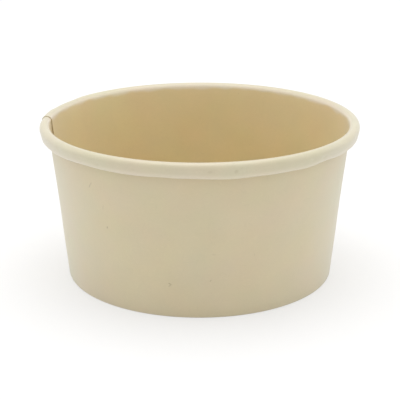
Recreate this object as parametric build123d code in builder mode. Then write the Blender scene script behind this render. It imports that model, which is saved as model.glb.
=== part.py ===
from build123d import *
from math import asin, atan2, cos, degrees, radians, sin
import os

# A round paper tub for ice cream. One fan-shaped blank of paperboard is rolled into the side wall:
# its ends lap in a seam, its top edge is curled outwards into the rim, and its bottom edge is folded
# in and up as a hem that grips the skirt of a pressed paperboard base.
# Millimetres and degrees, +Z up, +Y to the back. The origin is the centre of the ring that the tub
# stands on. The side of the board towards the food is its face, and the other side is its back.

# Side wall
rim_diameter = 96.0
height = 47.6
foot_diameter = 81.2
board = 0.35

# Rolled rim, whose outer side leans in towards its lower lip
rim_width = 3.1
rim_height = 4.6
rim_lean = 12.0
tail_length = 1.2
tail_clearance = 0.15

# Hem
hem_height = 5.5

# Base, whose panel is a recess above the foot
base_board = 0.30
recess = 6.0
base_bend = 0.4
bond = 0.02

# Side seam: the lap of the two ends, and the stretch of rim in which the outer end comes back to round
seam_azimuth = 176.5
seam_lap = 8.0
seam_settle = 18.0
settle_steps = 5

# The wall's back runs straight from the foot to where the crown of the rim takes it over
crown_radius = rim_width / 2
crown_centre = Vector(rim_diameter / 2 - crown_radius, height - crown_radius)
foot_to_crown = crown_centre - Vector(foot_diameter / 2, 0)
wall_lean = degrees(
    atan2(foot_to_crown.X, foot_to_crown.Y) - asin((crown_radius - board) / foot_to_crown.length)
)
up_wall = Vector(sin(radians(wall_lean)), cos(radians(wall_lean)))
off_wall = Vector(cos(radians(wall_lean)), -sin(radians(wall_lean)))
wall_top = crown_centre - off_wall * crown_radius

# The curl: crown, straight outer side, lower lip, and a tail that stands beside the wall and its lap
tail_offset = 2 * board + tail_clearance
turn_in = rim_lean - wall_lean
off_rim = Vector(cos(radians(rim_lean)), -sin(radians(rim_lean)))
down_rim = Vector(-sin(radians(rim_lean)), -cos(radians(rim_lean)))
across = 1 + cos(radians(turn_in))
dip = 1 - sin(radians(rim_lean))
rim_side = (rim_height - rim_width + dip * tail_offset / across) / (
    cos(radians(rim_lean)) - dip * sin(radians(turn_in)) / across
)
lip_radius = crown_radius - (rim_side * sin(radians(turn_in)) + tail_offset) / across
lip_centre = crown_centre + off_rim * (crown_radius - lip_radius) + down_rim * rim_side

# The hem stands this far inside the wall, with the base's skirt between them
pocket = base_board + 2 * bond

lap_angle = degrees(seam_lap / (rim_diameter / 2))
settle_angle = degrees(seam_settle / (rim_diameter / 2))


def radial_plane(azimuth):
    """The plane through the axis at an azimuth, with its x outwards and its y upwards."""
    turn = radians(azimuth)
    return Plane(origin=(0, 0, 0), x_dir=(cos(turn), sin(turn), 0), z_dir=(sin(turn), -cos(turn), 0))


def beside_wall(offset, z):
    """The point at height z on the line that runs this far outside the wall's face."""
    start = wall_top + off_wall * offset
    return start + up_wall * ((z - start.Y) / up_wall.Y)


def board_side(depth, fold_z, bend):
    """One side of the board, from the hem's cut edge to the tail's, this depth behind the wall's face."""
    wall = FilletPolyline(
        beside_wall(-pocket, hem_height) - off_wall * depth,
        beside_wall(-pocket - depth, fold_z),
        beside_wall(depth, fold_z),
        wall_top + off_wall * depth,
        radius=bend,
    )
    crown = CenterArc(crown_centre, crown_radius - depth, 180 - wall_lean, -180 - turn_in)
    lip = CenterArc(lip_centre, lip_radius - depth, -rim_lean, turn_in - 180)
    Line(crown @ 1, lip @ 0)
    tail = Line(lip @ 1, lip @ 1 + up_wall * tail_length)
    return wall @ 0, tail @ 1


def board_section(azimuth, lift):
    """The board cut at an azimuth, lifted off the round by part of its thickness or all of it."""
    with BuildSketch(radial_plane(azimuth)) as section:
        with BuildLine():
            face_hem, face_tail = board_side(lift, board, 0)
            back_hem, back_tail = board_side(lift + board, 0, board)
            Line(face_hem, back_hem)
            Line(face_tail, back_tail)
        make_face()
    return section.sketch


with BuildPart() as side_wall:
    # The round part ends at the seam in the cut edge that shows inside the tub
    revolve(board_section(seam_azimuth + settle_angle, 0), Axis.Z, 360 - settle_angle)
    # The other end of the board lifts off the round by its own thickness on the way to the seam
    settle_shares = [step / settle_steps for step in range(settle_steps + 1)]
    loft([board_section(seam_azimuth + settle_angle * (1 - t), board * t**2) for t in settle_shares])
    # From there it laps behind the first end
    revolve(board_section(seam_azimuth, board), Axis.Z, -lap_angle)

with BuildPart() as base_disc:
    with BuildSketch(Plane.XZ):
        with BuildLine():
            top = FilletPolyline(
                beside_wall(-bond, board + bond),
                beside_wall(-bond, recess + base_board),
                (0, recess + base_board),
                radius=base_bend + base_board,
            )
            underside = FilletPolyline(
                beside_wall(-bond - base_board, board + bond),
                beside_wall(-bond - base_board, recess),
                (0, recess),
                radius=base_bend,
            )
            Line(top @ 0, underside @ 0)
            Line(top @ 1, underside @ 1)
        make_face()
    revolve(axis=Axis.Z)

os.makedirs("parts", exist_ok=True)
side_wall.part.label = "side_wall"
base_disc.part.label = "base_disc"
export_step(side_wall.part, "parts/side_wall.step")
export_step(base_disc.part, "parts/base_disc.step")
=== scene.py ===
"""Looks of a round paperboard ice cream tub: its rolled wall, its pressed base and the studio round it."""

import math
from collections import namedtuple

import bmesh
import bpy
from bpy.props import FloatProperty, FloatVectorProperty, IntProperty, PointerProperty
from bpy.types import Operator, Panel, PropertyGroup
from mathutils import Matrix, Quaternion, Vector


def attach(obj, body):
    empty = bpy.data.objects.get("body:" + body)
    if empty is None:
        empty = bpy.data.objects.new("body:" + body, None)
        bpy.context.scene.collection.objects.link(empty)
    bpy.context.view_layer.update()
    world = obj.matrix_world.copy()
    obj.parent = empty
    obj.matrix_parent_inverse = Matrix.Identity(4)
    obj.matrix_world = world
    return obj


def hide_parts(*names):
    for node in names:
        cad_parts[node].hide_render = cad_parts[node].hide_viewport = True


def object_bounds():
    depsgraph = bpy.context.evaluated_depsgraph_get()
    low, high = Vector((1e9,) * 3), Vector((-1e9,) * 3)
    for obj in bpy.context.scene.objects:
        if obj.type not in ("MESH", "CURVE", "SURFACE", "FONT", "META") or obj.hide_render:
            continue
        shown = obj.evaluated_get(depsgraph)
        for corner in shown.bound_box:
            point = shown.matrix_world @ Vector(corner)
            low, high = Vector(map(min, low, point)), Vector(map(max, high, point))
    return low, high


bl_info = {
    "name": "Paperboard Ice Cream Tub",
    "version": (1, 0, 0),
    "blender": (4, 5, 0),
    "location": "View3D > Sidebar > Tub",
    "description": "A rolled and pressed paperboard tub with its board finishes and a plain studio",
    "category": "Object",
}

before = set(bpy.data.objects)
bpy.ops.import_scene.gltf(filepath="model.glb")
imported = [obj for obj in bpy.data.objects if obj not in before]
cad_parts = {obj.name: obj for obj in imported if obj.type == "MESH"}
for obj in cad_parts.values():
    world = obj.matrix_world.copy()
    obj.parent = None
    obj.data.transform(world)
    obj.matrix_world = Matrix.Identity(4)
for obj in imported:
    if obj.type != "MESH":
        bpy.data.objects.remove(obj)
cad_low, cad_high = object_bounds()

MM = 0.001
BODY = "root"


class TubBoardSettings(PropertyGroup):
    """The board that both pieces are made of."""

    wall_thickness: FloatProperty(
        name="Wall board", description="Thickness of the side wall's board", default=0.35 * MM, unit="LENGTH"
    )
    base_thickness: FloatProperty(
        name="Base board", description="Thickness of the base's board", default=0.30 * MM, unit="LENGTH"
    )
    outside: FloatVectorProperty(
        name="Outside",
        description="Colour of the bare outside",
        subtype="COLOR",
        default=(0.603, 0.515, 0.33),
    )
    # The inside and the rim are one lining, coloured apart: the gap between these two colours is painted
    # light, a deeper tan for the bounce inside the tub and a paler colour on the lit curl
    inside: FloatVectorProperty(
        name="Inside", description="Colour of the lined inside", subtype="COLOR", default=(0.66, 0.536, 0.292)
    )
    rim: FloatVectorProperty(
        name="Rim",
        description="Colour of the lining on the rim",
        subtype="COLOR",
        default=(0.58, 0.522, 0.361),
    )
    # Painted highlight: a paler colour laid on the crown's inner side and along the lip, standing in for
    # light on the curl
    painted_highlight: FloatVectorProperty(
        name="Bends",
        description="Colour of the lining where a tight bend has stretched it",
        subtype="COLOR",
        default=(0.7, 0.625, 0.485),
    )
    cut: FloatVectorProperty(
        name="Cut edge", description="Colour of the raw cut edge", subtype="COLOR", default=(0.46, 0.37, 0.23)
    )
    # Also the colour of the painted shade on the rim's pressed spots
    fleck: FloatVectorProperty(
        name="Flecks",
        description="Colour of bark flecks in the pulp",
        subtype="COLOR",
        default=(0.3, 0.23, 0.12),
    )


class TubWallSettings(PropertyGroup):
    """The side wall: one blank, rolled to a cone with a curled rim and a folded hem."""

    rim_diameter: FloatProperty(
        name="Rim diameter",
        description="Across the rolled rim",
        default=cad_high.y - cad_low.y,
        unit="LENGTH",
    )
    height: FloatProperty(
        name="Height", description="From the table to the top of the rim", default=cad_high.z, unit="LENGTH"
    )
    foot_diameter: FloatProperty(
        name="Foot diameter", description="Across the standing edge", default=81.2 * MM, unit="LENGTH"
    )
    rim_width: FloatProperty(
        name="Rim width", description="Across the curl", default=3.1 * MM, unit="LENGTH"
    )
    rim_height: FloatProperty(
        name="Rim height", description="From the crown to the lower lip", default=4.6 * MM, unit="LENGTH"
    )
    rim_lean: FloatProperty(
        name="Rim lean",
        description="How far the rim's outer side leans in towards its lip",
        default=math.radians(12),
        subtype="ANGLE",
    )
    tail_length: FloatProperty(
        name="Tail",
        description="Straight end of the curl, hidden in the rim",
        default=1.2 * MM,
        unit="LENGTH",
    )
    tail_gap: FloatProperty(
        name="Tail gap", description="From the lap's back to the tail", default=0.15 * MM, unit="LENGTH"
    )
    hem_height: FloatProperty(
        name="Hem height", description="From the table to the hem's cut edge", default=5.5 * MM, unit="LENGTH"
    )
    fold_radius: FloatProperty(
        name="Fold radius",
        description="Bend of the board's middle at the foot",
        default=0.22 * MM,
        unit="LENGTH",
    )
    seam_azimuth: FloatProperty(
        name="Seam",
        description="Where the inner cut edge shows",
        default=math.radians(176.5),
        subtype="ANGLE",
    )
    seam_lap: FloatProperty(
        name="Seam lap", description="Overlap of the blank's ends, on the rim", default=8 * MM, unit="LENGTH"
    )
    seam_settle: FloatProperty(
        name="Settling length",
        description="Stretch of rim in which the outer end comes back to the round",
        default=18 * MM,
        unit="LENGTH",
    )
    steps: IntProperty(name="Steps round", description="Columns of the rolled sheet", default=492)


class TubBaseSettings(PropertyGroup):
    """The base: a disc with its edge pressed down into the hem."""

    recess: FloatProperty(
        name="Recess", description="From the table to the panel's underside", default=6 * MM, unit="LENGTH"
    )
    bend: FloatProperty(
        name="Bend",
        description="Radius of the underside where the edge turns down",
        default=0.4 * MM,
        unit="LENGTH",
    )
    bond: FloatProperty(
        name="Bond", description="Coating between the skirt and the wall", default=0.02 * MM, unit="LENGTH"
    )
    steps: IntProperty(name="Steps round", description="Columns of the pressed disc", default=240)


class TubStudioSettings(PropertyGroup):
    """The floor, lamps and camera."""

    distance: FloatProperty(
        name="Distance", description="From the tub's centre to the camera", default=376.3 * MM, unit="LENGTH"
    )
    elevation: FloatProperty(
        name="Elevation",
        description="Camera's height as an angle",
        default=math.radians(18.43),
        subtype="ANGLE",
    )
    roll: FloatProperty(
        name="Roll",
        description="Turn of the camera about its view",
        default=math.radians(-0.11),
        subtype="ANGLE",
    )
    lens: FloatProperty(name="Lens", description="Focal length in millimetres", default=109.9)
    shift: FloatVectorProperty(
        name="Shift", description="Lens shift, in frame widths", size=2, default=(0.0008, -0.0181)
    )
    world_light: FloatProperty(
        name="World light", description="Strength of the even light from all round", default=0.784
    )


# The board in a plane through the tub's axis, x outwards and y upwards

Row = namedtuple("Row", "point lift zone share")

# Steps along each stretch of the wall's section, and along the base's
WALL_STEPS = {"hem": 6, "fold": 4, "wall": 20, "crown": 16, "side": 7, "lip": 12}
BASE_STEPS = {"skirt": 4, "bend": 6, "panel": 24}


def turned(angle):
    """The unit vector at an angle above the outward direction."""
    return Vector((math.cos(angle), math.sin(angle)))


def arc(centre, radius, start, sweep, steps):
    """Points and outward directions along an arc."""
    angles = [start + sweep * step / steps for step in range(steps + 1)]
    return [(centre + turned(angle) * radius, turned(angle)) for angle in angles]


def corner(before, at, after, radius, steps):
    """The points of a corner rounded to a radius."""
    back = (before - at).normalized()
    ahead = (after - at).normalized()
    half = back.angle(ahead) / 2
    centre = at + (back + ahead).normalized() * (radius / math.sin(half))
    first = at + back * (radius / math.tan(half)) - centre
    last = at + ahead * (radius / math.tan(half)) - centre
    start = math.atan2(first.y, first.x)
    sweep = math.remainder(math.atan2(last.y, last.x) - start, math.tau)
    return [point for point, outward in arc(centre, radius, start, sweep, steps)]


def between(start, end, steps):
    """Points from start to end, without either."""
    return [start.lerp(end, step / steps) for step in range(1, steps)]


class WallShape:
    """Lines and circles that the board's middle follows, as the wall's settings give them."""

    def __init__(self, wall, board, base):
        self.board = board.wall_thickness
        half = self.board / 2
        radius = wall.rim_width / 2
        self.crown_centre = Vector((wall.rim_diameter / 2 - radius, wall.height - radius))
        reach = self.crown_centre - Vector((wall.foot_diameter / 2, 0))
        self.lean = math.atan2(reach.x, reach.y) - math.asin((radius - self.board) / reach.length)
        self.up = Vector((math.sin(self.lean), math.cos(self.lean)))
        self.off = Vector((math.cos(self.lean), -math.sin(self.lean)))
        self.face_top = self.crown_centre - self.off * radius
        self.off_rim = turned(-wall.rim_lean)
        down_rim = turned(-wall.rim_lean - math.pi / 2)
        tail_offset = 2 * self.board + wall.tail_gap
        turn_in = wall.rim_lean - self.lean
        across = 1 + math.cos(turn_in)
        dip = 1 - math.sin(wall.rim_lean)
        side = (wall.rim_height - wall.rim_width + dip * tail_offset / across) / (
            math.cos(wall.rim_lean) - dip * math.sin(turn_in) / across
        )
        lip_radius = radius - (side * math.sin(turn_in) + tail_offset) / across
        self.lip_centre = self.crown_centre + self.off_rim * (radius - lip_radius) + down_rim * side
        self.crown_radius = radius - half
        self.lip_radius = lip_radius - half
        self.turn_in = turn_in
        self.pocket = board.base_thickness + 2 * base.bond

    def beside(self, offset, z):
        """The point at height z on the line this far outside the wall's face."""
        start = self.face_top + self.off * offset
        return start + self.up * ((z - start.y) / self.up.y)


def wall_rows(wall, shape):
    """The board's middle, from the hem's cut edge to the end of the curl."""
    half = shape.board / 2
    hem_top = shape.beside(-shape.pocket, wall.hem_height) - shape.off * half
    hem_foot = shape.beside(-shape.pocket - half, half)
    wall_foot = shape.beside(half, half)
    wall_top = shape.face_top + shape.off * half
    outwards = Vector((1 / math.cos(shape.lean), 0))
    inner_fold = corner(hem_top, hem_foot, wall_foot, wall.fold_radius, WALL_STEPS["fold"])
    outer_fold = corner(hem_foot, wall_foot, wall_top, wall.fold_radius, WALL_STEPS["fold"])
    hem = [hem_top] + between(hem_top, inner_fold[0], WALL_STEPS["hem"])
    straight = between(outer_fold[-1], wall_top, WALL_STEPS["wall"])
    half_turn = math.pi + shape.turn_in
    crown_start = math.pi - shape.lean
    crown = arc(shape.crown_centre, shape.crown_radius, crown_start, -half_turn, WALL_STEPS["crown"])
    lip_sweep = shape.turn_in - math.pi
    lip = arc(shape.lip_centre, shape.lip_radius, -wall.rim_lean, lip_sweep, WALL_STEPS["lip"])
    side = between(crown[-1][0], lip[0][0], WALL_STEPS["side"])
    tail = [lip[-1][0] + shape.up * (wall.tail_length * share) for share in (0.5, 1)]
    rows = [Row(p, -shape.off, "hem", i / len(hem)) for i, p in enumerate(hem)]
    rows += [Row(p, -outwards, "fold", 0) for p in inner_fold]
    rows += [Row(p, outwards, "fold", 1) for p in outer_fold]
    rows += [Row(p, shape.off, "wall", (i + 1) / len(straight)) for i, p in enumerate(straight)]
    rows += [Row(p, -out, "crown", i / len(crown)) for i, (p, out) in enumerate(crown)]
    rows += [Row(p, -shape.off_rim, "side", (i + 1) / len(side)) for i, p in enumerate(side)]
    rows += [Row(p, -out, "lip", i / len(lip)) for i, (p, out) in enumerate(lip)]
    rows += [Row(p, shape.off, "tail", 1) for p in tail]
    return rows


def first_of(rows, zone):
    """The number of the first row in a zone."""
    return next(i for i, row in enumerate(rows) if row.zone == zone)


# How a real tub differs from an even one: angles are azimuths in degrees, +X at 0 and +Y at 90


def smooth_step(edge, end, value):
    """0 before edge, 1 after end, and a smooth rise between them."""
    share = min(max((value - edge) / (end - edge), 0), 1)
    return share * share * (3 - 2 * share)


def swell(low, high, ramp, azimuth):
    """1 between two azimuths, falling off smoothly outside them."""
    return smooth_step(low - ramp, low, azimuth) * (1 - smooth_step(high, high + ramp, azimuth))


def waves(azimuth, parts):
    """A sum of whole waves round the tub, each (count, depth, phase)."""
    return sum(depth * math.sin(count * azimuth + phase) for count, depth, phase in parts)


# Whole waves round the tub: count, depth in millimetres, phase
OVAL = ((2, 0.13, math.pi / 2),)
CROWN_WAVES = ((3, 0.03, 1.0), (7, 0.02, 3.3), (19, 0.012, 0.5), (31, 0.008, 2.0))
LIP_WAVES = ((2, 0.03, 0.4), (9, 0.02, 4.0), (17, 0.015, 1.2))
WALL_WAVES = ((2, 0.03, 0.9), (3, 0.05, 2.7), (5, 0.025, 5.1))
RIM_ZONES = ("crown", "side", "lip", "tail")

# The wall's hollow in millimetres, and the shares of its height between which it lies
WALL_HOLLOW = 0.15
HOLLOW_ENDS = (0.1, 0.97)

# The base's skirt holds the wall round up to the first of these shares of its height
ABOVE_JOINT = (0.13, 0.3)

# How far the lip stands above its even place all round, in millimetres
LIP_RISE = 0.12

# The rear stretch where the curl is pressed in: its two azimuths, the ramp beside them and the depth in
# millimetres
REAR_DIP_FROM, REAR_DIP_TO, REAR_DIP_RAMP, REAR_DIP = 150, 162, 6, 0.2

# The shallow waist above the lip: millimetres past the lip's start, half-height and depth
WAIST_PLACE, WAIST_HALF_HEIGHT, WAIST_DEPTH = -0.4, 0.5, 0.05

# The share of the crown at which the lip's unevenness begins, and how much of it the crown's end takes
UNEVEN_CROWN_FROM, UNEVEN_CROWN_TAKES = 0.35, 0.5

# Stretches where the lip hangs lower, or higher: azimuth, half-width in degrees, depth in millimetres
LIP_SAGS = (
    (228.0, 9.0, -0.26),
    (257.0, 5.0, -0.2),
    (267.0, 4.0, -0.08),
    (281.0, 8.0, 0.28),
    (295.0, 5.0, 0.08),
    (308.0, 4.0, 0.16),
    (319.0, 5.0, -0.36),
)

# Pressed spots on the outside of the curl: azimuth, millimetres past the lip's start, half-width in
# degrees, half-height and depth in millimetres
RIM_DENTS = (
    (8.0, -1.4, 1.6, 0.8, 0.12),
    (29.0, -2.0, 1.2, 0.6, 0.13),
    (47.0, -1.1, 2.2, 0.9, 0.1),
    (83.0, -1.8, 1.4, 0.7, 0.14),
    (112.0, -1.4, 1.8, 0.8, 0.12),
    (139.0, -2.1, 1.3, 0.6, 0.13),
    (193.0, -1.6, 1.5, 0.7, 0.13),
    (214.0, -1.9, 1.2, 0.7, 0.12),
    (226.0, -1.5, 1.8, 0.8, 0.14),
    (234.5, -1.0, 1.1, 0.5, 0.12),
    (241.0, -2.0, 1.2, 0.5, 0.1),
    (247.0, -1.7, 1.9, 0.6, 0.12),
    (262.0, -1.3, 1.3, 0.5, 0.09),
    (273.4, -1.6, 0.9, 0.5, 0.2),
    (276.6, -2.3, 1.3, 0.4, -0.08),
    (281.8, -1.5, 0.8, 0.7, 0.24),
    (297.0, -1.9, 1.6, 0.6, 0.1),
    (304.0, -1.2, 1.1, 0.5, -0.07),
    (311.0, -1.4, 1.0, 0.6, 0.16),
    (316.5, -0.8, 0.9, 0.5, 0.16),
    (343.0, -1.7, 1.9, 0.8, 0.12),
)


def bumps(degrees, parts):
    """A sum of rounded bumps round the tub, each (azimuth, half-width, depth)."""
    return sum(depth * math.exp(-(((degrees - at) / half) ** 2)) for at, half, depth in parts)


def pressed_in(degrees, past_lip):
    """How deep the curl is pressed in at a place on it."""
    return sum(
        depth * math.exp(-(((degrees - at) / wide) ** 2) - ((past_lip - past) / tall) ** 2)
        for at, past, wide, tall, depth in RIM_DENTS
    )


def rim_weight(row):
    """How much of the lip's unevenness a row of the rim takes: none at the wall, all at the lip."""
    if row.zone == "crown":
        return smooth_step(UNEVEN_CROWN_FROM, 1, row.share) * UNEVEN_CROWN_TAKES
    if row.zone == "side":
        return UNEVEN_CROWN_TAKES + (1 - UNEVEN_CROWN_TAKES) * row.share
    return 1


def uneven(row, azimuth, past_lip):
    """The move, in millimetres outwards and upwards, of a point of the board from its even place."""
    degrees = math.degrees(azimuth) % 360
    if row.zone in RIM_ZONES:
        weight = rim_weight(row)
        sag = bumps(degrees, LIP_SAGS) + waves(azimuth, LIP_WAVES) - LIP_RISE
        dip = REAR_DIP * swell(REAR_DIP_FROM, REAR_DIP_TO, REAR_DIP_RAMP, degrees)
        waist = WAIST_DEPTH * math.exp(-(((past_lip / MM - WAIST_PLACE) / WAIST_HALF_HEIGHT) ** 2))
        pressed = pressed_in(degrees, past_lip / MM) + waist
        out = row.lift.x * dip + waves(azimuth, CROWN_WAVES) * weight + waves(azimuth, OVAL) - pressed
        return Vector((out, row.lift.y * dip - sag * weight))
    if row.zone == "wall":
        hollow = -WALL_HOLLOW * math.sin(math.pi * smooth_step(*HOLLOW_ENDS, row.share))
        oval = waves(azimuth, OVAL) * row.share
        bow = waves(azimuth, WALL_WAVES) * math.sin(math.pi * row.share)
        return Vector(((hollow + oval + bow) * smooth_step(*ABOVE_JOINT, row.share), 0))
    return Vector((0, 0))


def seam_lift(wall, board, swept):
    """How far the sheet stands off its round place, at an angle swept from its inner cut edge."""
    settle = wall.seam_settle / (wall.rim_diameter / 2)
    share = min(max((swept - (math.tau - settle)) / settle, 0), 1)
    return board.wall_thickness * share * share


# Meshes


def spin_sheet(points, azimuth, angle, steps):
    """A sheet made by turning a line of (outwards, upwards) points about the axis, from an azimuth."""
    bm = bmesh.new()
    first = turned(azimuth)
    line = [bm.verts.new((p.x * first.x, p.x * first.y, p.y)) for p in points]
    edges = [bm.edges.new(pair) for pair in zip(line, line[1:])]
    bmesh.ops.spin(
        bm,
        geom=line + edges,
        cent=(0, 0, 0),
        axis=(0, 0, math.copysign(1, angle)),
        dvec=(0, 0, 0),
        angle=abs(angle),
        steps=steps,
        use_merge=math.isclose(abs(angle), math.tau),
        use_normal_flip=False,
        use_duplicate=False,
    )
    bm.verts.index_update()
    return bm


def unwrap_sheet(bm, place):
    """A UV map in metres on the flat blank, from a function that gives a vertex its place there."""
    uv = bm.loops.layers.uv.new("sheet")
    for face in bm.faces:
        for loop in face.loops:
            loop[uv].uv = place(loop.vert)


def section_lengths(points):
    """The length of a line of points up to each of them."""
    lengths = [0]
    for before, after in zip(points, points[1:]):
        lengths.append(lengths[-1] + (after - before).length)
    return lengths


def face_inwards(bm):
    """Turns the sheet so that its normals point to its food side."""
    bm.normal_update()
    face = max(bm.faces, key=lambda f: f.calc_area())
    centre = face.calc_center_median()
    if face.normal.dot(Vector((centre.x, centre.y, -abs(centre.z)))) > 0:
        bmesh.ops.reverse_faces(bm, faces=list(bm.faces))


def put_in_order(bm):
    """Sorts edges and faces by their corners: Blender makes them in another order on each run."""
    bm.verts.index_update()
    count = len(bm.verts)

    def by_corners(part):
        numbers = [vert.index for vert in part.verts]
        return min(numbers) * count + max(numbers)

    bm.edges.sort(key=by_corners)
    bm.faces.sort(key=by_corners)


def piece_from_sheet(name, bm, thickness, materials):
    """An object from a sheet, thickened about its middle.

    The materials are for the sheet's face, its back and its cut edge, and then the same three for the
    faces that have the rim's own finish.
    """
    put_in_order(bm)
    sheet = bpy.data.meshes.new(name + "_sheet")
    bm.to_mesh(sheet)
    bm.free()
    obj = bpy.data.objects.new(name, sheet)
    bpy.context.collection.objects.link(obj)
    for material in materials:
        sheet.materials.append(material)
    solidify = obj.modifiers.new("thickness", "SOLIDIFY")
    solidify.thickness = thickness
    solidify.offset = 0
    solidify.use_even_offset = True
    solidify.material_offset = 1
    solidify.material_offset_rim = 2
    graph = bpy.context.evaluated_depsgraph_get()
    mesh = bpy.data.meshes.new_from_object(obj.evaluated_get(graph))
    obj.modifiers.clear()
    obj.data = mesh
    bpy.data.meshes.remove(sheet)
    mesh.name = name
    finishes = list(dict.fromkeys(materials))
    places = [finishes.index(materials[face.material_index]) for face in mesh.polygons]
    mesh.materials.clear()
    for material in finishes:
        mesh.materials.append(material)
    mesh.polygons.foreach_set("material_index", places)
    sharpen_edges(mesh)
    return obj


SHARP_ANGLE = math.radians(40)


def sharpen_edges(mesh):
    """Smooth faces with sharp cut edges."""
    bm = bmesh.new()
    bm.from_mesh(mesh)
    for face in bm.faces:
        face.smooth = True
    for edge in bm.edges:
        edge.smooth = edge.calc_face_angle(0) < SHARP_ANGLE
    bm.to_mesh(mesh)
    bm.free()


# Materials

# The colour sockets of a Mix node, whose names are the same for every kind of value
MIX_SHARE, MIX_FIRST, MIX_SECOND, MIX_RESULT = 0, 6, 7, 2


class Nodes:
    """A node tree with short calls for adding and linking nodes."""

    def __init__(self, tree):
        self.tree = tree

    def add(self, kind, inputs=None, **settings):
        """A new node with its settings, and with inputs given by socket name or number."""
        node = self.tree.nodes.new(kind)
        for name, value in settings.items():
            setattr(node, name, value)
        for socket, value in (inputs or {}).items():
            self.feed(node.inputs[socket], value)
        return node

    def feed(self, socket, value):
        """Links an output to a socket, or sets the socket to a constant."""
        if isinstance(value, bpy.types.NodeSocket):
            self.tree.links.new(value, socket)
        else:
            socket.default_value = value

    def math(self, operation, *values, clamp=False):
        """An arithmetic operation on values in order."""
        node = self.add("ShaderNodeMath", operation=operation, use_clamp=clamp)
        for socket, value in zip(node.inputs, values):
            self.feed(socket, value)
        return node.outputs[0]

    def mix(self, share, first, second):
        """The first colour at share 0, the second at 1, and a blend between."""
        node = self.add("ShaderNodeMix", data_type="RGBA")
        self.feed(node.inputs[MIX_SHARE], share)
        self.feed(node.inputs[MIX_FIRST], first)
        self.feed(node.inputs[MIX_SECOND], second)
        return node.outputs[MIX_RESULT]

    def remap(self, value, low, high, to_low=0.0, to_high=1.0):
        """A smooth change from to_low at low to to_high at high."""
        numbers = {"From Min": low, "From Max": high, "To Min": to_low, "To Max": to_high}
        node = self.add("ShaderNodeMapRange", {"Value": value, **numbers}, interpolation_type="SMOOTHSTEP")
        return node.outputs[0]

    def vector(self, operation, *values, **settings):
        """A vector operation on values in order, and on named ones such as the Scale of SCALE."""
        node = self.add("ShaderNodeVectorMath", operation=operation)
        for socket, value in [*enumerate(values), *settings.items()]:
            self.feed(node.inputs[socket], value)
        return node.outputs["Value" if operation == "LENGTH" else "Vector"]

    def reach(self, place, angle, slimness):
        """How far a place is from the middle of a stroke, on a measure squeezed across the stroke."""
        along = self.add("ShaderNodeVectorRotate", {"Vector": place, "Angle": angle}, rotation_type="Z_AXIS")
        squeezed = self.add("ShaderNodeCombineXYZ", {"X": 1.0, "Y": slimness, "Z": 1.0})
        return self.vector("LENGTH", self.vector("MULTIPLY", along.outputs[0], squeezed.outputs[0]))


def new_group(name, inputs, outputs):
    """A shader node group with its sockets: name, kind and, for an input, default."""
    group = bpy.data.node_groups.new(name, "ShaderNodeTree")
    for socket, kind, default in inputs:
        item = group.interface.new_socket(name=socket, in_out="INPUT", socket_type=kind)
        if default is not None:
            item.default_value = default
    for socket, kind in outputs:
        group.interface.new_socket(name=socket, in_out="OUTPUT", socket_type=kind)
    nodes = Nodes(group)
    return nodes, nodes.add("NodeGroupInput").outputs, nodes.add("NodeGroupOutput").inputs


# The smallest stroke as a share of the largest, and how much of a stroke, of a fleck and of a spot of painted
# shade is solid
SMALLEST_STROKE = 0.45
STROKE_CORE = 0.55
FLECK_AND_SHADE_CORE = 0.4


def stroke_group():
    """Short strokes strewn over a surface, one in some of the cells of an uneven grid."""
    nodes, given, out = new_group(
        "strewn_strokes",
        [
            ("Vector", "NodeSocketVector", None),
            ("Per Metre", "NodeSocketFloat", 100.0),
            ("Length", "NodeSocketFloat", 0.3),
            ("Slimness", "NodeSocketFloat", 4.0),
            ("Share", "NodeSocketFloat", 0.5),
        ],
        [("Mask", "NodeSocketFloat")],
    )
    spread = nodes.vector("SCALE", given["Vector"], Scale=given["Per Metre"])
    cells = nodes.add("ShaderNodeTexVoronoi", {"Vector": spread, "Scale": 1.0}, voronoi_dimensions="2D")
    local = nodes.vector("SUBTRACT", spread, cells.outputs["Position"])
    aim, keep, grow = nodes.add("ShaderNodeSeparateColor", {"Color": cells.outputs["Color"]}).outputs
    reach = nodes.reach(local, nodes.math("MULTIPLY", aim, math.tau), given["Slimness"])
    size = nodes.math("MULTIPLY", given["Length"], nodes.remap(grow, 0.0, 1.0, SMALLEST_STROKE, 1.0))
    stroke = nodes.remap(nodes.math("DIVIDE", reach, size), STROKE_CORE, 1.0, 1.0, 0.0)
    kept = nodes.math("LESS_THAN", keep, given["Share"])
    nodes.feed(out["Mask"], nodes.math("MULTIPLY", stroke, kept))
    return nodes.tree


def mark_group():
    """One mark at a chosen place on the sheet: a fleck, and on the rim a spot of painted shade."""
    nodes, given, out = new_group(
        "placed_fleck_and_shade",
        [
            ("Vector", "NodeSocketVector", None),
            ("Centre", "NodeSocketVector", None),
            ("Angle", "NodeSocketFloat", 0.0),
            ("Length", "NodeSocketFloat", 0.001),
            ("Slimness", "NodeSocketFloat", 3.0),
            ("Depth", "NodeSocketFloat", 0.5),
        ],
        [("Mask", "NodeSocketFloat")],
    )
    local = nodes.vector("SUBTRACT", given["Vector"], given["Centre"])
    reach = nodes.reach(local, given["Angle"], given["Slimness"])
    share = nodes.math("DIVIDE", reach, nodes.math("MULTIPLY", given["Length"], 0.5))
    fleck = nodes.remap(share, FLECK_AND_SHADE_CORE, 1.0, 1.0, 0.0)
    nodes.feed(out["Mask"], nodes.math("MULTIPLY", fleck, given["Depth"]))
    return nodes.tree


# What is strewn in the pulp: cells per metre, length in cells, slimness and the share of cells that have one
PALE_FIBRES = (620.0, 0.75, 7.0, 0.7)
DARK_FIBRES = (480.0, 0.7, 8.0, 0.5)
SPECKS = (60.0, 0.03, 2.4, 0.14)
DOTS = (150.0, 0.02, 1.4, 0.1)

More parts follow.
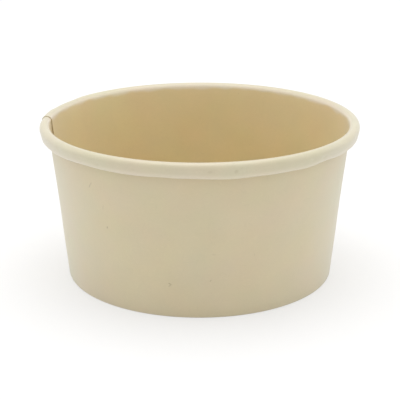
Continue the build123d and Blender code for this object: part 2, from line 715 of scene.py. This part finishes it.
# The pulp's clouds: noises of lumps per metre, and the broad one's part of the whole
BROAD_CLOUDS = {"Scale": 90.0, "Detail": 5.0, "Roughness": 0.62}
FINE_CLOUDS = {"Scale": 900.0, "Detail": 4.0, "Roughness": 0.6}
BROAD_PART = 0.7

# The drift of the pulp's hue, as the range and the least value of what each channel is multiplied by
HUE_LUMPS = {"Scale": 75.0, "Detail": 2.0}
HUE_RANGE = (0.1, 0.08, 0.13)
HUE_LEAST = (0.95, 0.96, 0.935)

# The tooth: how far pale fibres stand out of the fine clouds, and how far dark ones lie in them
PALE_STANDS, DARK_LIES = 0.5, 0.4

# The stretch of the clouds that the roughness follows, and what it adds at either end
CLOUD_ROUGHNESS = (0.3, 0.7, -0.05, 0.05)


def pulp_group(strokes):
    """The cloudy pulp, fibres and tooth of unbleached board."""
    nodes, given, out = new_group(
        "board_pulp",
        [
            ("Vector", "NodeSocketVector", None),
            ("Colour", "NodeSocketColor", (0.6, 0.5, 0.35, 1)),
            ("Fleck Colour", "NodeSocketColor", (0.3, 0.2, 0.1, 1)),
            ("Cloud", "NodeSocketFloat", 0.12),
            ("Fibres", "NodeSocketFloat", 0.022),
            ("Flecks", "NodeSocketFloat", 0.35),
        ],
        [("Colour", "NodeSocketColor"), ("Height", "NodeSocketFloat"), ("Roughness", "NodeSocketFloat")],
    )
    vector = given["Vector"]
    broad = nodes.add("ShaderNodeTexNoise", {"Vector": vector, **BROAD_CLOUDS}).outputs[0]
    fine = nodes.add("ShaderNodeTexNoise", {"Vector": vector, **FINE_CLOUDS}).outputs[0]
    cloud = nodes.math("MULTIPLY_ADD", broad, BROAD_PART, nodes.math("MULTIPLY", fine, 1 - BROAD_PART))
    centred = nodes.math("SUBTRACT", cloud, 0.5)
    shade = nodes.math("MULTIPLY_ADD", centred, given["Cloud"], 1.0)

    def strewn(*values):
        named = dict(zip(("Per Metre", "Length", "Slimness", "Share"), values))
        return nodes.add("ShaderNodeGroup", {"Vector": vector, **named}, node_tree=strokes).outputs[0]

    pale, dark, specks, dots = (strewn(*values) for values in (PALE_FIBRES, DARK_FIBRES, SPECKS, DOTS))
    tint = nodes.math("MULTIPLY", nodes.math("SUBTRACT", pale, dark), given["Fibres"])
    total = nodes.math("ADD", shade, tint)
    drift = nodes.add("ShaderNodeTexNoise", {"Vector": vector, **HUE_LUMPS}).outputs["Color"]
    hue = nodes.vector("MULTIPLY_ADD", drift, HUE_RANGE, HUE_LEAST)
    body = nodes.vector("SCALE", nodes.vector("MULTIPLY", given["Colour"], hue), Scale=total)
    flecks = nodes.math("MULTIPLY", nodes.math("MAXIMUM", specks, dots), given["Flecks"], clamp=True)
    nodes.feed(out["Colour"], nodes.mix(flecks, body, given["Fleck Colour"]))
    raised = nodes.math("ADD", nodes.math("MULTIPLY", pale, PALE_STANDS), fine)
    nodes.feed(out["Height"], nodes.math("SUBTRACT", raised, nodes.math("MULTIPLY", dark, DARK_LIES)))
    nodes.feed(out["Roughness"], nodes.remap(cloud, *CLOUD_ROUGHNESS))
    return nodes.tree


# Painted shade where the curl is pressed in, laid on the rim in the fleck colour: azimuth and millimetres
# past the lip's start, length and slimness, slant, depth
RIM_PAINTED_SHADE = (
    (273.3, -1.6, 1.9, 1.6, 10, 0.11),
    (281.8, -1.5, 1.7, 1.2, 70, 0.15),
    (283.5, -2.4, 1.3, 2.0, 30, 0.06),
    (248.0, -1.2, 1.6, 2.2, 160, 0.05),
    (234.0, -0.6, 1.4, 2.0, 20, 0.05),
)

# Flecks on the front of the wall: azimuth and height, length and slimness, slant on the sheet, depth
WALL_FLECKS = (
    (226.3, 37.0, 2.6, 4.5, 129, 0.3),
    (225.7, 36.3, 1.3, 2.4, 129, 0.25),
    (231.7, 31.0, 2.2, 6.0, 103, 0.25),
    (232.8, 25.0, 1.0, 1.7, 95, 0.6),
    (258.4, 10.5, 1.5, 3.0, 24, 0.6),
    (258.3, 9.9, 1.3, 3.0, -22, 0.45),
    (275.3, 19.8, 1.6, 4.0, 5, 0.16),
    (291.2, 18.7, 1.0, 2.0, 80, 0.16),
)

# Where the curl's finishes change, along the sheet from the crown's start: the rim's paler colour, which is
# painted light, with the wander of its edge, the painted highlight on the crown's inner side, and the cut
# edges that the curl has closed
RIM_EDGE = (-0.8 * MM, 0.4 * MM)
RIM_EDGE_WANDER = 2.2 * MM
WANDER_LUMPS = {"Scale": 160.0, "Detail": 1.0}
CROWN_HIGHLIGHT = (0.5 * MM, 1.6 * MM)
CUT_CLOSES = (0.2 * MM, 1.6 * MM)
CUT_CLOSED = 0.8

# The same from the lip's start: the painted highlight along the lip, and how strong it is
LIP_HIGHLIGHT = (-1.0 * MM, 0.3 * MM)
LIP_HIGHLIGHT_STRENGTH = 0.6

# The cut edge's streaks: their noise, and the shade and roughness at either end of a stretch of it
STREAKS = {"Scale": 2500.0, "Detail": 3.0}
STREAK_SHADES = (0.3, 0.7, -0.5, 0.5)
STREAK_ROUGHNESS = (0.2, 0.8, 0.85, 0.98)


def curl_group():
    """Where the rim's colour begins on the sheet, where the crown and the lip get a painted highlight, and
    where the curl closes the cut edge.
    """
    nodes, given, out = new_group(
        "curl_masks",
        [
            ("Vector", "NodeSocketVector", None),
            ("Crown", "NodeSocketFloat", 0.0),
            ("Lip", "NodeSocketFloat", 0.0),
        ],
        [("Rim", "NodeSocketFloat"), ("Painted Highlight", "NodeSocketFloat"), ("Closed", "NodeSocketFloat")],
    )
    up_sheet = nodes.add("ShaderNodeSeparateXYZ", {0: given["Vector"]}).outputs[1]
    past_crown = nodes.math("SUBTRACT", up_sheet, given["Crown"])
    past_lip = nodes.math("SUBTRACT", up_sheet, given["Lip"])
    wander = nodes.add("ShaderNodeTexNoise", {"Vector": given["Vector"], **WANDER_LUMPS})
    centred = nodes.math("SUBTRACT", wander.outputs[0], 0.5)
    edge = nodes.math("MULTIPLY_ADD", centred, RIM_EDGE_WANDER, past_crown)
    nodes.feed(out["Rim"], nodes.remap(edge, *RIM_EDGE))
    crown_highlight = nodes.remap(past_crown, *CROWN_HIGHLIGHT, 1.0, 0.0)
    lip_highlight = nodes.remap(past_lip, *LIP_HIGHLIGHT, 0.0, LIP_HIGHLIGHT_STRENGTH)
    nodes.feed(out["Painted Highlight"], nodes.math("MAXIMUM", crown_highlight, lip_highlight))
    nodes.feed(out["Closed"], nodes.remap(past_crown, *CUT_CLOSES, 0.0, CUT_CLOSED))
    return nodes.tree


def cut_group():
    """The streaks of the board's layers on a raw cut edge."""
    nodes, given, out = new_group(
        "cut_streaks",
        [
            ("Vector", "NodeSocketVector", None),
            ("Colour", "NodeSocketColor", (0.46, 0.37, 0.23, 1)),
            ("Contrast", "NodeSocketFloat", 0.3),
        ],
        [("Colour", "NodeSocketColor"), ("Height", "NodeSocketFloat"), ("Roughness", "NodeSocketFloat")],
    )
    streaks = nodes.add("ShaderNodeTexNoise", {"Vector": given["Vector"], **STREAKS}).outputs[0]
    shade = nodes.math("MULTIPLY_ADD", nodes.remap(streaks, *STREAK_SHADES), given["Contrast"], 1.0)
    nodes.feed(out["Colour"], nodes.vector("SCALE", given["Colour"], Scale=shade))
    nodes.feed(out["Height"], streaks)
    nodes.feed(out["Roughness"], nodes.remap(streaks, *STREAK_ROUGHNESS))
    return nodes.tree


# Finishes of the board: the roughness and tooth of its surface, the gloss of a lining and the sheen of pulp
Finish = namedtuple("Finish", "roughness tooth coat sheen")
LINED = Finish(0.4, 0.1, 0.65, 0.2)
LINED_RIM = Finish(0.45, 0.14, 0.4, 0.18)
BARE = Finish(0.55, 0.14, 0.0, 0.42)
SHEEN_ROUGHNESS = 0.6
SHEEN_TINT = (0.87, 0.94, 1, 1)
COAT_ROUGHNESS = 0.3
TOOTH_HEIGHT = 0.05 * MM
CUT_TOOTH = 0.4


def group_node(nodes, group, values):
    """One of the shared effects, placed in a material with its own values."""
    return nodes.add("ShaderNodeGroup", values, node_tree=group).outputs


def new_material(name):
    """A material with its nodes, its shader and the sheet's UV map."""
    material = bpy.data.materials.new(name)
    material.use_nodes = True
    nodes = Nodes(material.node_tree)
    sheet = nodes.add("ShaderNodeUVMap", uv_map="sheet").outputs[0]
    return material, nodes, material.node_tree.nodes["Principled BSDF"], sheet


def rough_surface(nodes, shader, surface, tooth):
    """Feeds a shader's normal from the height of its surface."""
    values = {"Height": surface["Height"], "Strength": tooth, "Distance": TOOTH_HEIGHT}
    nodes.feed(shader.inputs["Normal"], nodes.add("ShaderNodeBump", values).outputs[0])


def board_material(name, finish, colour, board, marks=(), curl=None):
    """Board with the pulp pattern laid out along the sheet, paler on the rim if it has a curl, with a painted
    highlight on crown and lip.
    """
    groups = board_groups()
    material, nodes, shader, sheet = new_material(name)
    fleck_and_shade_colour = (*board.fleck, 1)
    surface = group_node(
        nodes, groups["board_pulp"], {"Vector": sheet, "Colour": (*colour, 1), "Fleck Colour": fleck_and_shade_colour}
    )
    base_colour = surface["Colour"]
    # On the curl: the rim's paler colour, which is painted light, and a painted highlight on the crown's
    # inner side and along the lip
    if curl:
        masks = group_node(nodes, groups["curl_masks"], {"Vector": sheet, "Crown": curl[0], "Lip": curl[1]})
        rim_and_highlight_tint = nodes.mix(masks["Painted Highlight"], ratio(board.rim, colour), ratio(board.painted_highlight, colour))
        tinted = nodes.vector("MULTIPLY", base_colour, rim_and_highlight_tint)
        base_colour = nodes.mix(masks["Rim"], base_colour, tinted)
    # Flecks on the wall; on the rim, spots of painted shade where the curl is pressed in
    for centre, length, slimness, slant, depth in marks:
        values = {"Centre": centre, "Angle": -slant, "Length": length, "Slimness": slimness, "Depth": depth}
        mark = group_node(nodes, groups["placed_fleck_and_shade"], {"Vector": sheet, **values})
        base_colour = nodes.mix(mark["Mask"], base_colour, fleck_and_shade_colour)
    nodes.feed(shader.inputs["Base Color"], base_colour)
    nodes.feed(shader.inputs["Roughness"], nodes.math("ADD", surface["Roughness"], finish.roughness))
    rough_surface(nodes, shader, surface, finish.tooth)
    shader.inputs["Sheen Weight"].default_value = finish.sheen
    shader.inputs["Sheen Roughness"].default_value = SHEEN_ROUGHNESS
    shader.inputs["Sheen Tint"].default_value = SHEEN_TINT
    shader.inputs["Coat Weight"].default_value = finish.coat
    shader.inputs["Coat Roughness"].default_value = COAT_ROUGHNESS
    return material


def ratio(wanted, colour):
    """What a colour is multiplied by to give the wanted one, channel by channel."""
    return (*(channel / plain for channel, plain in zip(wanted, colour)), 1)


def cut_material(name, board, curl=None):
    """The raw cut edge, paler where the curl has closed it."""
    groups = board_groups()
    material, nodes, shader, sheet = new_material(name)
    colour = (*board.cut, 1)
    if curl:
        masks = group_node(nodes, groups["curl_masks"], {"Vector": sheet, "Crown": curl[0], "Lip": curl[1]})
        colour = nodes.mix(masks["Closed"], colour, (*board.rim, 1))
    place = nodes.add("ShaderNodeTexCoord").outputs["Object"]
    surface = group_node(nodes, groups["cut_streaks"], {"Vector": place, "Colour": colour})
    nodes.feed(shader.inputs["Base Color"], surface["Colour"])
    nodes.feed(shader.inputs["Roughness"], surface["Roughness"])
    rough_surface(nodes, shader, surface, CUT_TOOTH)
    return material


def board_groups():
    """The node groups that the board's materials use, made once."""
    existing = bpy.data.node_groups
    if "board_pulp" not in existing:
        strokes = stroke_group()
        for make in (lambda: pulp_group(strokes), mark_group, curl_group, cut_group):
            make()
    return existing


# Operators

# The place of the rim's lining in the wall's list of materials, after the wall's own three
RIM_MATERIAL = 3

# How much of the lap's lift the crown takes, where the curl is pressed flat
CROWN_LIFT = 0.7


class TUB_OT_side_wall(Operator):
    """Roll the side wall with its rim, seam and hem"""

    bl_idname = "tub.side_wall"
    bl_label = "Side wall"

    def execute(self, context):
        scene = context.scene
        wall, board, base = scene.tub_wall, scene.tub_board, scene.tub_base
        shape = WallShape(wall, board, base)
        rows = wall_rows(wall, shape)
        points = [row.point for row in rows]
        lengths = section_lengths(points)
        foot_line, crown_line, lip_line = (first_of(rows, zone) for zone in ("wall", "crown", "lip"))
        lap = wall.seam_lap / (wall.rim_diameter / 2)
        step = (math.tau + lap) / wall.steps
        bm = spin_sheet(points, wall.seam_azimuth, -(math.tau + lap), wall.steps)
        for vert in bm.verts:
            column, line = divmod(vert.index, len(rows))
            row = rows[line]
            azimuth = wall.seam_azimuth - column * step
            lift = seam_lift(wall, board, column * step) * (CROWN_LIFT if row.zone == "crown" else 1)
            past_lip = lengths[line] - lengths[lip_line]
            place = row.point + row.lift * lift + uneven(row, azimuth, past_lip) * MM
            around = turned(azimuth)
            vert.co = (place.x * around.x, place.x * around.y, place.y)
        mean_radius = (wall.rim_diameter + wall.foot_diameter) / 4

        def on_blank(vert):
            column, line = divmod(vert.index, len(rows))
            return column * step * mean_radius, lengths[line]

        unwrap_sheet(bm, on_blank)
        face_inwards(bm)
        for face in bm.faces:
            if all(vert.index % len(rows) >= crown_line for vert in face.verts):
                face.material_index = RIM_MATERIAL

        def placed(flecks, height_on_sheet):
            """The flecks on the wall, and the spots of painted shade on the rim, with their places on the
            flat sheet.
            """
            for azimuth, height, length, slimness, slant, depth in flecks:
                swept = (wall.seam_azimuth - math.radians(azimuth)) % math.tau
                centre = (swept * mean_radius, height_on_sheet(height * MM), 0)
                yield centre, length * MM, slimness, math.radians(slant), depth

        def up_wall(height):
            return lengths[foot_line] + (height - points[foot_line].y) / math.cos(shape.lean)

        wall_marks = placed(WALL_FLECKS, up_wall)
        # Spots of painted shade on the rim, at its pressed spots
        rim_painted_shade = placed(RIM_PAINTED_SHADE, lambda past: lengths[lip_line] + past)
        curl = (lengths[crown_line], lengths[lip_line])
        bare = board_material("bare_board", BARE, board.outside, board, wall_marks)
        cut = cut_material("cut_board", board, curl)
        lined = board_material("lined_board", LINED, board.inside, board, curl=curl)
        lined_rim = board_material("lined_rim", LINED_RIM, board.inside, board, rim_painted_shade, curl)
        materials = [lined, bare, cut, lined_rim, bare, cut]
        piece = piece_from_sheet("rolled_wall", bm, board.wall_thickness, materials)
        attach(piece, BODY)
        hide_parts("side_wall")
        return {"FINISHED"}


# The panel's dome and the depth of its waves in millimetres, and the share of its radius from which
# the dome runs out to its edge
PANEL_DOME = 0.25
PANEL_WAVES = 0.3
DOME_ENDS = 0.85

# The columns of a full turn meet in the middle of the panel, where points this close are one
MERGE_DISTANCE = 0.001 * MM


class TUB_OT_base(Operator):
    """Press the base with its skirt"""

    bl_idname = "tub.base"
    bl_label = "Base"

    def execute(self, context):
        scene = context.scene
        wall, board, base = scene.tub_wall, scene.tub_board, scene.tub_base
        shape = WallShape(wall, board, base)
        half = board.base_thickness / 2
        skirt = -base.bond - half
        skirt_foot = shape.beside(skirt, board.wall_thickness + base.bond)
        edge = shape.beside(skirt, base.recess + half)
        centre = Vector((0, base.recess + half))
        bend = corner(skirt_foot, edge, centre, base.bend + half, BASE_STEPS["bend"])
        points = [skirt_foot, *between(skirt_foot, bend[0], BASE_STEPS["skirt"]), *bend]
        points += [*between(bend[-1], centre, BASE_STEPS["panel"]), centre]
        bm = spin_sheet(points, 0, math.tau, base.steps)
        bmesh.ops.remove_doubles(bm, verts=bm.verts, dist=MERGE_DISTANCE)

        def on_blank(vert):
            radius = vert.co.xy.length
            below_panel = max(edge.y - vert.co.z, 0)
            return vert.co.xy * ((radius + below_panel) / radius) if radius else (0, 0)

        unwrap_sheet(bm, on_blank)
        panel_radius = bend[-1].x
        for vert in bm.verts:
            share = vert.co.xy.length / panel_radius
            if share < 1:
                azimuth = math.atan2(vert.co.y, vert.co.x)
                dome = PANEL_DOME * (1 - share * share) * smooth_step(1, DOME_ENDS, share)
                ripple = PANEL_WAVES * share * (1 - share) * waves(azimuth, WALL_WAVES)
                vert.co.z += (dome + ripple) * MM
        face_inwards(bm)
        materials = [
            board_material("lined_base", LINED, board.inside, board),
            board_material("bare_base", BARE, board.outside, board),
            cut_material("cut_base", board),
        ]
        piece = piece_from_sheet("pressed_base", bm, board.base_thickness, materials)
        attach(piece, BODY)
        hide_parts("base_disc")
        return {"FINISHED"}


def seen_share(nodes):
    """1 on camera, glossy and transmission rays, 0 on the rays that light the object."""
    path = nodes.add("ShaderNodeLightPath")
    seen = nodes.math("MAXIMUM", path.outputs["Is Camera Ray"], path.outputs["Is Glossy Ray"])
    return nodes.math("MAXIMUM", seen, path.outputs["Is Transmission Ray"])


def light_world(strength):
    """White behind the object, and an even light on it."""
    world = bpy.data.worlds.new("white_studio")
    world.use_nodes = True
    bpy.context.scene.world = world
    nodes = Nodes(world.node_tree)
    background = world.node_tree.nodes["Background"]
    background.inputs["Color"].default_value = (1, 1, 1, 1)
    nodes.feed(background.inputs["Strength"], nodes.remap(seen_share(nodes), 0.0, 1.0, strength, 1.0))


FLOOR_HALF_WIDTH = 3.0
FLOOR_GREY = 0.86

# How much of the floor is plain white to the camera and in reflections; the rest shows the shadow
FLOOR_WHITE_SHARE = 0.48

# Square lamps aimed at the tub: name, place, width in metres and power in watts
LAMPS = (
    ("top_lamp", (0, 0.1, 0.9), 0.9, 5.15),
    ("left_lamp", (-0.9, 0.15, 0.35), 0.8, 1.05),
    ("right_lamp", (0.9, 0.15, 0.35), 0.8, 1.05),
)
NEAREST_SEEN = 10 * MM


def make_floor():
    """A white floor that keeps a soft shadow."""
    bm = bmesh.new()
    bmesh.ops.create_grid(bm, x_segments=1, y_segments=1, size=FLOOR_HALF_WIDTH)
    mesh = bpy.data.meshes.new("floor")
    bm.to_mesh(mesh)
    bm.free()
    floor = bpy.data.objects.new("floor", mesh)
    bpy.context.collection.objects.link(floor)
    material = bpy.data.materials.new("white_floor")
    material.use_nodes = True
    nodes = Nodes(material.node_tree)
    tree = material.node_tree
    tree.nodes.remove(tree.nodes["Principled BSDF"])
    paint = nodes.add("ShaderNodeBsdfDiffuse", {"Color": (FLOOR_GREY, FLOOR_GREY, FLOOR_GREY, 1)})
    glow = nodes.add("ShaderNodeEmission", {"Color": (1, 1, 1, 1)})
    white_share = nodes.math("MULTIPLY", seen_share(nodes), FLOOR_WHITE_SHARE)
    both = nodes.add("ShaderNodeMixShader", {0: white_share, 1: paint.outputs[0], 2: glow.outputs[0]})
    tree.links.new(both.outputs[0], tree.nodes["Material Output"].inputs[0])
    mesh.materials.append(material)


def add_lamp(name, place, size, power, target):
    """A square soft lamp aimed at a point."""
    light = bpy.data.lights.new(name, "AREA")
    light.shape = "SQUARE"
    light.size = size
    light.energy = power
    lamp = bpy.data.objects.new(name, light)
    bpy.context.collection.objects.link(lamp)
    lamp.location = place
    lamp.rotation_euler = (Vector(target) - Vector(place)).to_track_quat("-Z", "Y").to_euler()


class TUB_OT_studio(Operator):
    """Set up the floor, lamps and camera"""

    bl_idname = "tub.studio"
    bl_label = "Studio"

    def execute(self, context):
        scene = context.scene
        studio = scene.tub_studio
        centre = Vector((0, 0, scene.tub_wall.height / 2))
        scene.view_settings.view_transform = "Standard"
        light_world(studio.world_light)
        make_floor()
        for lamp in LAMPS:
            add_lamp(*lamp, centre)
        camera_data = bpy.data.cameras.new("camera")
        camera_data.lens = studio.lens
        camera_data.shift_x, camera_data.shift_y = studio.shift
        camera_data.clip_start = NEAREST_SEEN
        camera = bpy.data.objects.new("camera", camera_data)
        bpy.context.collection.objects.link(camera)
        back = Vector((0, -math.cos(studio.elevation), math.sin(studio.elevation)))
        camera.location = centre + back * studio.distance
        look = (-back).to_track_quat("-Z", "Y") @ Quaternion((0, 0, 1), studio.roll)
        camera.rotation_euler = look.to_euler()
        scene.camera = camera
        return {"FINISHED"}


class TUB_PT_panel(Panel):
    """Buttons and sizes of the tub"""

    bl_label = "Paperboard tub"
    bl_idname = "TUB_PT_panel"
    bl_space_type = "VIEW_3D"
    bl_region_type = "UI"
    bl_category = "Tub"

    def draw(self, context):
        for operator in OPERATORS:
            self.layout.operator(operator.bl_idname)
        for name, kind in SETTINGS.items():
            box = self.layout.box()
            for field in kind.__annotations__:
                box.prop(getattr(context.scene, name), field)


SETTINGS = {
    "tub_board": TubBoardSettings,
    "tub_wall": TubWallSettings,
    "tub_base": TubBaseSettings,
    "tub_studio": TubStudioSettings,
}
OPERATORS = (TUB_OT_side_wall, TUB_OT_base, TUB_OT_studio)
CLASSES = (*SETTINGS.values(), *OPERATORS, TUB_PT_panel)


def register():
    for cls in CLASSES:
        bpy.utils.register_class(cls)
    for name, kind in SETTINGS.items():
        setattr(bpy.types.Scene, name, PointerProperty(type=kind))


def unregister():
    for name in SETTINGS:
        delattr(bpy.types.Scene, name)
    for cls in reversed(CLASSES):
        bpy.utils.unregister_class(cls)


def main():
    register()
    bpy.ops.tub.studio()
    bpy.ops.tub.side_wall()
    bpy.ops.tub.base()


if __name__ == "__main__":
    main()
